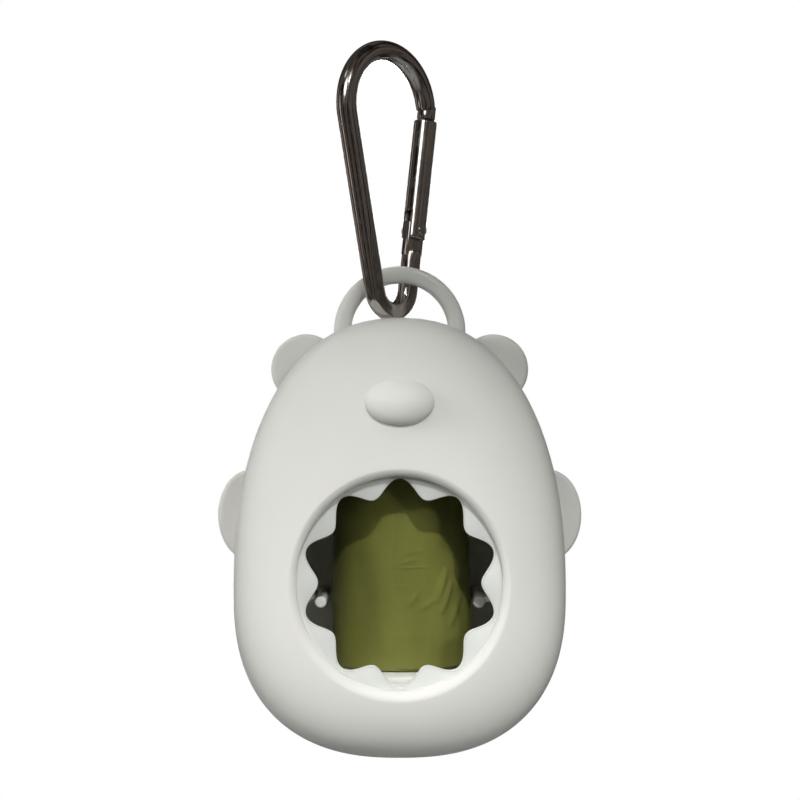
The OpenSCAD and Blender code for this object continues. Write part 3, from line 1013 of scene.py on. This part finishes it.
def clip_metal():
    return material_of("clip_metal", plated, tuple(finishes().metal), tuple(finishes().metal_worn))


def rivet_metal():
    return material_of("rivet_metal", plated, tuple(finishes().metal_worn), tuple(finishes().metal), 0.2)


def spring_steel():
    return material_of("spring_steel", plated, tuple(finishes().metal), tuple(finishes().metal_worn), 0.25)


def bag_film():
    return material_of("bag_film", film, tuple(finishes().film), tuple(finishes().film_deep))


def core_board():
    return material_of("core_board", paper_board, tuple(finishes().board))


# Operators, one for each piece or group of like pieces

class OBJECT_OT_clip_body(bpy.types.Operator):
    """Add the bent wire of the clip, with its tongue and tab"""
    bl_idname = "object.dispenser_clip_body"
    bl_label = "Clip Body"

    def execute(self, context):
        k = clip()
        leg = leg_matrix()
        half = k.tongue_half
        wire = Solid().grid(wire_points()).build("clip_wire")
        neck = Solid().grid(rod(k.neck_r, 0.8 * MM, 4.0 * MM, leg, 64, 0.4 * MM)).build("clip_neck")
        tongue = box((-1.0 * MM, -half, k.pin_z - 1.0 * MM), (1.9 * MM, half, 1.1 * MM), leg, "clip_tongue")
        soften(tongue, 0.2 * MM)
        across = leg @ Matrix.Translation((k.pin_x, 0, k.pin_z)) @ Matrix.Rotation(math.pi / 2, 4, "X")
        pin_rows = rod(k.pin_r, -k.pin_half, k.pin_half, across, 40, 0.2 * MM)
        pin = Solid().grid(pin_rows).build("clip_cross_pin")
        low = -(k.bend_gap * math.cos(clip_taper())) + 8 * MM
        tab = box((-k.tab_half, -half, low), (k.tab_half, half, -k.pivot + 1.9 * MM), leg, "clip_tab")
        soften(tab, 0.4 * MM, 4)
        for piece in (wire, neck, tongue, pin, tab):
            dress(shade(piece), clip_metal(), "clip", "clip_metal", "clip_body")
        return {"FINISHED"}


class OBJECT_OT_clip_gate(bpy.types.Operator):
    """Add the gate of the clip with its rivet"""
    bl_idname = "object.dispenser_clip_gate"
    bl_label = "Clip Gate"

    def execute(self, context):
        k = clip()
        gate = shade(soften(gate_solid(), 0.12 * MM, 2, 50), 30)
        dress(gate, clip_metal(), "gate", "clip_metal", "clip_gate")
        across = leg_matrix() @ Matrix.Translation((0, 0, -k.pivot)) @ Matrix.Rotation(math.pi / 2, 4, "X")
        out, sunk = k.gate_r + 0.25 * MM, k.gate_r - 0.15 * MM
        solid = Solid().grid(rod(k.rivet_r, -k.gate_r, k.gate_r, across, 32))
        for low, high in ((sunk, out), (-out, -sunk)):
            solid.grid(rod(k.rivet_head_r, low, high, across, 40, 0.2 * MM))
        dress(shade(solid.build("gate_rivet_peened")), rivet_metal(), "gate", "rivet_metal", "gate_rivet")
        return {"FINISHED"}


def paint_node(name, material):
    """Gives a hidden CAD node, which stays as it is, its material."""
    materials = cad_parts[name].data.materials
    materials.clear()
    materials.append(material)


class OBJECT_OT_gate_works(bpy.types.Operator):
    """Finish the spring and the plunger inside the gate"""
    bl_idname = "object.dispenser_gate_works"
    bl_label = "Gate Spring And Plunger"

    def execute(self, context):
        for name in ("gate_spring", "gate_plunger"):
            paint_node(name, spring_steel())
        return {"FINISHED"}


class OBJECT_OT_front_shell(bpy.types.Operator):
    """Add the front shell with its nose, ears, arms, loop and shelves"""
    bl_idname = "object.dispenser_front_shell"
    bl_label = "Front Shell"

    def execute(self, context):
        c = case()
        # The flat pieces stand a hair proud of the rim, so that no two faces lie in one plane
        half = c.flange / 2 + 0.03 * MM
        pieces = [
            (Solid().grid(front_rows(), wrap_rows=True).build("front_shell_skin"), 40),
            (Solid().grid(nose_points()).build("front_nose"), 50),
            (Solid().grid(loop_points()).build("front_loop"), 50),
        ]
        for side, word in ((-1, "left"), (1, "right")):
            ear = ellipse(side * c.ear_x, c.ear_z, c.ear_r, c.ear_r)
            arm = ellipse(side * c.arm_x, c.arm_z, c.arm_w, c.arm_h)
            for name, outline in (("front_ear_", ear), ("front_arm_", arm)):
                pieces.append((Solid().grid(plate(outline, half, 0.85 * MM)).build(name + word), 50))
        pieces.append((soften(front_ledges().build("front_shelves"), 0.25 * MM), 35))
        for piece, angle in pieces:
            dress(shade(piece, angle), case_plastic(), "case", "case_plastic", "front_shell")
        return {"FINISHED"}


class OBJECT_OT_outlet_disc(bpy.types.Operator):
    """Add the disc with the star opening"""
    bl_idname = "object.dispenser_outlet_disc"
    bl_label = "Outlet Disc"

    def execute(self, context):
        disc = Solid().grid(disc_rows(), wrap_rows=True).build("outlet_star_disc")
        dress(shade(disc, 40), disc_plastic(), "case", "disc_plastic", "outlet_disc")
        return {"FINISHED"}


class OBJECT_OT_rear_shell(bpy.types.Operator):
    """Add the rear shell with its shelves and guide posts"""
    bl_idname = "object.dispenser_rear_shell"
    bl_label = "Rear Shell"

    def execute(self, context):
        shell = Solid().grid(rear_rows()).build("rear_shell_skin")
        works = soften(rear_ledges().build("rear_shelves"), 0.2 * MM)
        for piece, angle in ((shell, 40), (works, 35)):
            dress(shade(piece, angle), case_plastic(), "rear", "case_plastic", "rear_shell")
        return {"FINISHED"}


class OBJECT_OT_bag_roll(bpy.types.Operator):
    """Add the roll of bags, its core and the loose end of the first bag"""
    bl_idname = "object.dispenser_bag_roll"
    bl_label = "Bag Roll"

    def execute(self, context):
        wound = Solid().grid(roll_rows(), wrap_rows=True).build("bag_roll_wound")
        dress(shade(wound, 40), bag_film(), "roll", "bag_film", "bag_roll")
        dress(shade(bag_sheet(), 60), bag_film(), "roll", "bag_film", "leading_bag")
        paint_node("roll_core", core_board())
        return {"FINISHED"}


# The stage

# Soft lamps in metres and degrees: name, size, distance, azimuth, elevation, colour, if the metal mirrors it
LAMPS = (
    ("key", 0.07, 1.0, 10, 40, (1.0, 0.985, 0.95), True),
    ("left", 0.5, 1.2, -65, 15, (0.985, 0.985, 1.0), False),
    ("right", 0.5, 1.2, 40, 20, (1, 1, 1), False),
    ("front", 0.5, 1.2, -20, 32, (1, 1, 1), True),
    ("back", 0.6, 1.4, 180, 3, (1, 1, 1), True),
)
# Soft spots a metre away: name, what it is aimed at, size, cone, azimuth, elevation
SPOTS = (
    ("window", "window", 0.02, 8, 8, 42),
    ("top", "window", 0.08, 6.5, -15, 70),
    ("belly", "belly", 0.08, 8, 25, 18),
    ("side", "middle", 0.08, 16, -75, 20),
)
# Bright panels that the metal mirrors: name, azimuth, elevation, width, height, colour, strength
STRIPS = (
    ("window_strip", -78, 0, 0.24, 0.9, (1.0, 0.84, 0.76), 1.1),
    ("gate_strip", -80, 12, 0.10, 0.5, (1.0, 0.82, 0.76), 1.5),
    ("ceiling_strip", -60, 50, 0.35, 0.25, (1.0, 0.97, 0.93), 1.5),
    ("wall_strip", -118, 5, 0.55, 1.2, (1.0, 0.86, 0.76), 0.32),
    ("far_strip", 125, 0, 0.30, 1.2, (0.95, 0.97, 1.0), 0.16),
    ("front_strip", 25, -12, 0.16, 0.5, (0.9, 0.92, 0.95), 0.22),
)
STRIP_DISTANCE = 2.0


def add_lamp(name, kind, power, position, target, mirrored):
    """Lamp at a point, aimed at another."""
    made = bpy.data.objects.new(name, bpy.data.lights.new(name, kind))
    bpy.context.scene.collection.objects.link(made)
    made.data.energy = power
    made.location = position
    made.rotation_euler = (Vector(target) - made.location).to_track_quat("-Z", "Y").to_euler()
    made.visible_glossy = mirrored
    return made.data


def on_sphere(target, distance, azimuth, elevation):
    """Point at a distance from a target; azimuth 0 is in front, and grows to the right."""
    a, e = math.radians(azimuth), math.radians(elevation)
    away = Vector((math.sin(a) * math.cos(e), -math.cos(a) * math.cos(e), math.sin(e)))
    return Vector(target) + distance * away


def only_mirrored(thing, colour, strength):
    """Makes a panel glow in one colour, or in dim patches without one, for reflections only."""
    thing.visible_camera = False
    thing.visible_diffuse = False
    thing.visible_shadow = False
    thing.visible_transmission = False
    material, tree, shader = new_material(thing.name + "_light")
    tree.nodes.remove(shader)
    output = next(n for n in tree.nodes if n.type == "OUTPUT_MATERIAL")
    glow = node(tree, "ShaderNodeEmission", Strength=strength)
    if colour:
        glow.inputs["Color"].default_value = (*colour, 1)
    else:
        patches = noise(tree, 1.4, 2.0, (1.0, 1.0, 0.5))
        tone = ramp(tree, patches, (0.006, 0.005, 0.005), (0.13, 0.112, 0.10), 0.40, 0.68)
        tree.links.new(tone.outputs["Color"], glow.inputs["Color"])
    tree.links.new(glow.outputs[0], output.inputs["Surface"])
    thing.data.materials.append(material)


class OBJECT_OT_stage(bpy.types.Operator):
    """Add the camera, the lamps, the floor and the room that the metal mirrors"""
    bl_idname = "object.dispenser_stage"
    bl_label = "Stage"

    def execute(self, context):
        s = stage()
        scene = context.scene
        camera = bpy.data.objects.new("camera", bpy.data.cameras.new("camera"))
        scene.collection.objects.link(camera)
        camera.location = (s.camera_x, s.camera_y, s.camera_z)
        camera.rotation_euler = (math.pi / 2, 0, 0)
        camera.data.lens = s.lens
        camera.data.sensor_width = 36
        camera.data.clip_start = 0.01
        scene.camera = camera
        middle = (s.camera_x, 0, s.camera_z - s.middle_drop)
        aims = {
            "middle": middle,
            "window": (s.camera_x, s.aim_y, s.window_aim),
            "belly": (s.camera_x, s.aim_y, s.belly_aim),
        }
        for name, size, distance, azimuth, elevation, colour, mirrored in LAMPS:
            position = on_sphere(middle, distance, azimuth, elevation)
            power = getattr(s, name + "_power")
            light = add_lamp(name + "_lamp", "AREA", power, position, middle, mirrored)
            light.shape = "DISK"
            light.size = size
            light.color = colour
        for name, aim, size, cone, azimuth, elevation in SPOTS:
            position = on_sphere(aims[aim], 1.0, azimuth, elevation)
            power = getattr(s, name + "_power")
            light = add_lamp(name + "_spot", "SPOT", power, position, aims[aim], False)
            light.shadow_soft_size = size
            light.spot_size = math.radians(cone)
            light.spot_blend = 1.0
        self.world(scene, s)
        self.floor(s)
        self.room(middle)
        for name, azimuth, elevation, wide, tall, colour, strength in STRIPS:
            self.strip(name, middle, azimuth, elevation, wide, tall, colour, strength)
        scene.view_settings.view_transform = "Standard"
        return {"FINISHED"}

    def world(self, scene, s):
        """Plain light from all round, and a white background for what looks or mirrors straight into it."""
        world = bpy.data.worlds.new("studio")
        scene.world = world
        world.use_nodes = True
        tree = world.node_tree
        tree.nodes.clear()
        path = node(tree, "ShaderNodeLightPath")
        seen = node(tree, "ShaderNodeMath", operation="MAXIMUM")
        shown = node(tree, "ShaderNodeMath", operation="MAXIMUM")
        tree.links.new(path.outputs["Is Camera Ray"], seen.inputs[0])
        tree.links.new(path.outputs["Is Glossy Ray"], seen.inputs[1])
        tree.links.new(seen.outputs[0], shown.inputs[0])
        tree.links.new(path.outputs["Is Transmission Ray"], shown.inputs[1])
        soft = node(tree, "ShaderNodeBackground", Color=(1, 1, 1, 1), Strength=s.ambient)
        white = node(tree, "ShaderNodeBackground", Color=(1, 1, 1, 1), Strength=1.0)
        mix = node(tree, "ShaderNodeMixShader")
        out = node(tree, "ShaderNodeOutputWorld")
        tree.links.new(shown.outputs[0], mix.inputs["Fac"])
        tree.links.new(soft.outputs[0], mix.inputs[1])
        tree.links.new(white.outputs[0], mix.inputs[2])
        tree.links.new(mix.outputs[0], out.inputs["Surface"])

    def floor(self, s):
        """Round pale floor far under the hanging part, which fades out at its edge."""
        columns, rings = 96, (0.02, 0.15, 0.3, 0.45)
        fade_from, fade_to, seen_glow = 0.25, 0.44, 0.35
        turns = around(columns)
        points = np.array([[(s.camera_x + r * math.cos(a), r * math.sin(a), s.floor_z) for a in turns]
                           for r in rings])
        faces = grid_faces(len(rings), columns) + [tuple(reversed(range(columns)))]
        floor = new_object("floor", points.reshape(-1, 3), faces)
        material, tree, shader = new_material("floor_paint")
        shader.inputs["Base Color"].default_value = (0.86, 0.86, 0.85, 1)
        shader.inputs["Roughness"].default_value = 0.9
        place_node = node(tree, "ShaderNodeTexCoord")
        away = node(tree, "ShaderNodeVectorMath", operation="DISTANCE")
        away.inputs[1].default_value = (s.camera_x, 0, s.floor_z)
        tree.links.new(place_node.outputs["Object"], away.inputs[0])
        fade = node(tree, "ShaderNodeMapRange")
        for key, value in (("From Min", fade_from), ("From Max", fade_to), ("To Min", 1.0), ("To Max", 0.0)):
            fade.inputs[key].default_value = value
        tree.links.new(away.outputs["Value"], fade.inputs["Value"])
        tree.links.new(fade.outputs["Result"], shader.inputs["Alpha"])
        shader.inputs["Emission Color"].default_value = (1, 1, 1, 1)
        path = node(tree, "ShaderNodeLightPath")
        glow = node(tree, "ShaderNodeMath", operation="MULTIPLY")
        glow.inputs[1].default_value = seen_glow
        tree.links.new(path.outputs["Is Camera Ray"], glow.inputs[0])
        tree.links.new(glow.outputs[0], shader.inputs["Emission Strength"])
        floor.data.materials.append(material)

    def room(self, middle):
        """Dim shell of a room that only reflections see, open behind the part."""
        rows, columns, radius = 25, 64, 2.4
        leans = [math.radians(2 + 168 * i / (rows - 1)) for i in range(rows)]
        points = [[(middle[0] + radius * math.sin(lean) * math.cos(a), -radius * math.cos(lean),
                    middle[2] + radius * math.sin(lean) * math.sin(a)) for a in around(columns)]
                  for lean in leans]
        faces = grid_faces(rows, columns) + [tuple(range(columns))]
        only_mirrored(new_object("room", np.array(points).reshape(-1, 3), faces), None, 1.0)

    def strip(self, name, middle, azimuth, elevation, wide, tall, colour, strength):
        """Bright panel that faces the part."""
        centre = on_sphere(middle, STRIP_DISTANCE, azimuth, elevation)
        forward = (Vector(middle) - centre).normalized()
        side = forward.cross(Vector((0, 0, 1))).normalized()
        up = side.cross(forward)
        corners = [centre + side * (x * wide / 2) + up * (z * tall / 2)
                   for x, z in ((-1, -1), (1, -1), (1, 1), (-1, 1))]
        only_mirrored(new_object(name, corners, [(0, 1, 2, 3)]), colour, strength)


GROUPS = {
    "dispenser_case": CaseSizes,
    "dispenser_outlet": OutletSizes,
    "dispenser_roll": RollSizes,
    "dispenser_clip": ClipSizes,
    "dispenser_finishes": Finishes,
    "dispenser_stage": StageSettings,
}
OPERATORS = (
    OBJECT_OT_stage,
    OBJECT_OT_clip_body,
    OBJECT_OT_clip_gate,
    OBJECT_OT_gate_works,
    OBJECT_OT_front_shell,
    OBJECT_OT_outlet_disc,
    OBJECT_OT_rear_shell,
    OBJECT_OT_bag_roll,
)


class VIEW3D_PT_dispenser(bpy.types.Panel):
    """Lists the pieces of the dispenser"""
    bl_idname = "VIEW3D_PT_dispenser"
    bl_label = "Bag Roll Dispenser"
    bl_space_type = "VIEW_3D"
    bl_region_type = "UI"
    bl_category = "Dispenser"

    def draw(self, context):
        for operator in OPERATORS:
            self.layout.operator(operator.bl_idname)
        for name, group in GROUPS.items():
            box = self.layout.box()
            for key in group.__annotations__:
                box.prop(getattr(context.scene, name), key)


def register():
    for name, group in GROUPS.items():
        bpy.utils.register_class(group)
        setattr(bpy.types.Scene, name, bpy.props.PointerProperty(type=group))
    for operator in OPERATORS:
        bpy.utils.register_class(operator)
    bpy.utils.register_class(VIEW3D_PT_dispenser)


def unregister():
    bpy.utils.unregister_class(VIEW3D_PT_dispenser)
    for operator in reversed(OPERATORS):
        bpy.utils.unregister_class(operator)
    for name, group in reversed(GROUPS.items()):
        delattr(bpy.types.Scene, name)
        bpy.utils.unregister_class(group)


def main():
    register()
    for operator in OPERATORS:
        group, name = operator.bl_idname.split(".")
        getattr(getattr(bpy.ops, group), name)()


if __name__ == "__main__":
    main()
